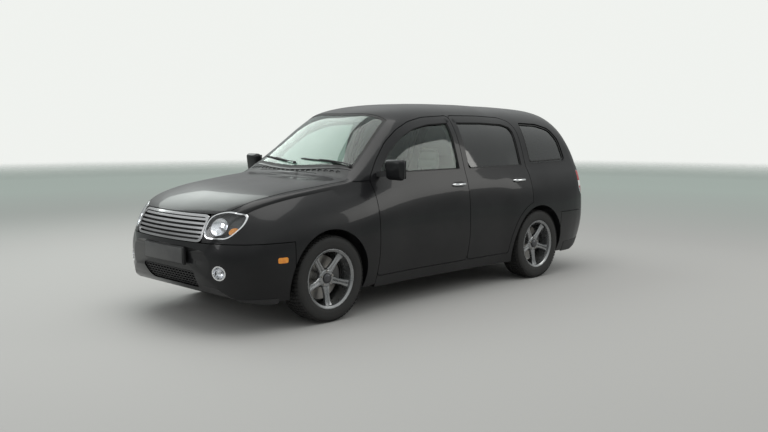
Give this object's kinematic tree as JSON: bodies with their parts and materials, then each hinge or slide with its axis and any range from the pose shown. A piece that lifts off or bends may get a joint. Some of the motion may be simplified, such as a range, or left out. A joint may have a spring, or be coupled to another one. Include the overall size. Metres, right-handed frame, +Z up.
{
  "type": "compact SUV",
  "caption": "Tall-roofed compact SUV with hinged doors, hood and tailgate, steered front wheels and free-rolling wheels.",
  "frame": {"origin": "on the floor, under the middle of the car's overall box", "axes": "+X forward to the nose, +Y to the car's left, +Z up"},
  "size_m": [4.4678, 2.0454, 1.653],
  "materials": {
    "paint": "clear-coated black body paint",
    "underbody": "satin black underbody coating",
    "black_plastic": "fine-grained black plastic",
    "chrome": "bright chrome",
    "lamp_lens": "clear lamp lens",
    "red_lens": "red lamp lens",
    "clear_glass": "green-tinted glass",
    "dark_glass": "dark privacy glass",
    "cabin_plastic": "soft-grained dark plastic",
    "seat_fabric": "woven charcoal seat cloth",
    "cast_block": "cast metal",
    "exhaust_steel": "dull exhaust steel",
    "tyre": "black tyre rubber",
    "alloy": "painted silver alloy"
  },
  "bodies": {
    "root": {"floor_pan": "underbody", "body_sides": "paint", "roof_panel": "paint", "cowl": "black_plastic", "engine_bay": "underbody", "front_fenders": "paint", "front_bumper": "paint", "rear_bumper": "paint", "grille": "chrome", "front_lamps": "lamp_lens", "tail_lamps": "red_lens", "windshield": "clear_glass", "quarter_glass": "dark_glass", "dashboard": "cabin_plastic", "front_seats": "seat_fabric", "rear_seat": "seat_fabric", "engine_block": "cast_block", "arch_liners": "black_plastic", "exhaust": "exhaust_steel", "fuel_tank": "underbody", "front_suspension": "underbody", "rear_axle": "underbody"},
    "hood": {"hood": "paint"},
    "tailgate": {"tailgate": "paint", "tailgate_glass": "dark_glass"},
    "front_door_left": {"front_door_left": "paint", "front_glass_left": "clear_glass", "mirror_left": "paint"},
    "rear_door_left": {"rear_door_left": "paint", "rear_glass_left": "dark_glass"},
    "knuckle_left": {"knuckle_left": "cast_block"},
    "front_wheel_left": {"tyre_front_left": "tyre", "rim_front_left": "alloy"},
    "rear_wheel_left": {"tyre_rear_left": "tyre", "rim_rear_left": "alloy"},
    "front_door_right": {"front_door_right": "paint", "front_glass_right": "clear_glass", "mirror_right": "paint"},
    "rear_door_right": {"rear_door_right": "paint", "rear_glass_right": "dark_glass"},
    "knuckle_right": {"knuckle_right": "cast_block"},
    "front_wheel_right": {"tyre_front_right": "tyre", "rim_front_right": "alloy"},
    "rear_wheel_right": {"tyre_rear_right": "tyre", "rim_rear_right": "alloy"}
  },
  "joints": [
    {"name": "front_door_left_hinge", "type": "hinge", "parent": "root", "child": "front_door_left", "pos_m": [0.875, 0.859, 0.9], "axis": [0, 0, -1], "range_deg": [0, 65]},
    {"name": "rear_door_left_hinge", "type": "hinge", "parent": "root", "child": "rear_door_left", "pos_m": [-0.251, 0.8325, 0.9], "axis": [0, 0, -1], "range_deg": [0, 68]},
    {"name": "front_door_right_hinge", "type": "hinge", "parent": "root", "child": "front_door_right", "pos_m": [0.875, -0.859, 0.9], "axis": [0, 0, 1], "range_deg": [0, 65]},
    {"name": "rear_door_right_hinge", "type": "hinge", "parent": "root", "child": "rear_door_right", "pos_m": [-0.251, -0.8325, 0.9], "axis": [0, 0, 1], "range_deg": [0, 68]},
    {"name": "steer_left", "type": "hinge", "parent": "root", "child": "knuckle_left", "pos_m": [1.33, 0.682, 0.327], "axis": [0, 0, 1], "range_deg": [-33, 33]},
    {"name": "front_wheel_left_spin", "type": "hinge", "parent": "knuckle_left", "child": "front_wheel_left", "pos_m": [1.33, 0.7455, 0.327], "axis": [0, 1, 0], "continuous": true},
    {"name": "rear_wheel_left_spin", "type": "hinge", "parent": "root", "child": "rear_wheel_left", "pos_m": [-1.298, 0.7455, 0.327], "axis": [0, 1, 0], "continuous": true},
    {"name": "steer_right", "type": "hinge", "parent": "root", "child": "knuckle_right", "pos_m": [1.33, -0.682, 0.327], "axis": [0, 0, 1], "range_deg": [-33, 33]},
    {"name": "front_wheel_right_spin", "type": "hinge", "parent": "knuckle_right", "child": "front_wheel_right", "pos_m": [1.33, -0.7455, 0.327], "axis": [0, 1, 0], "continuous": true},
    {"name": "rear_wheel_right_spin", "type": "hinge", "parent": "root", "child": "rear_wheel_right", "pos_m": [-1.298, -0.7455, 0.327], "axis": [0, 1, 0], "continuous": true},
    {"name": "hood_hinge", "type": "hinge", "parent": "root", "child": "hood", "pos_m": [1.082, 0, 1.09], "axis": [0, -1, 0], "range_deg": [0, 50]},
    {"name": "tailgate_hinge", "type": "hinge", "parent": "root", "child": "tailgate", "pos_m": [-1.88, 0, 1.575], "axis": [0, 1, 0], "range_deg": [0, 80]}
  ],
  "couplings": [
    {"joint": "steer_right", "follows": "steer_left", "ratio": 1}
  ]
}
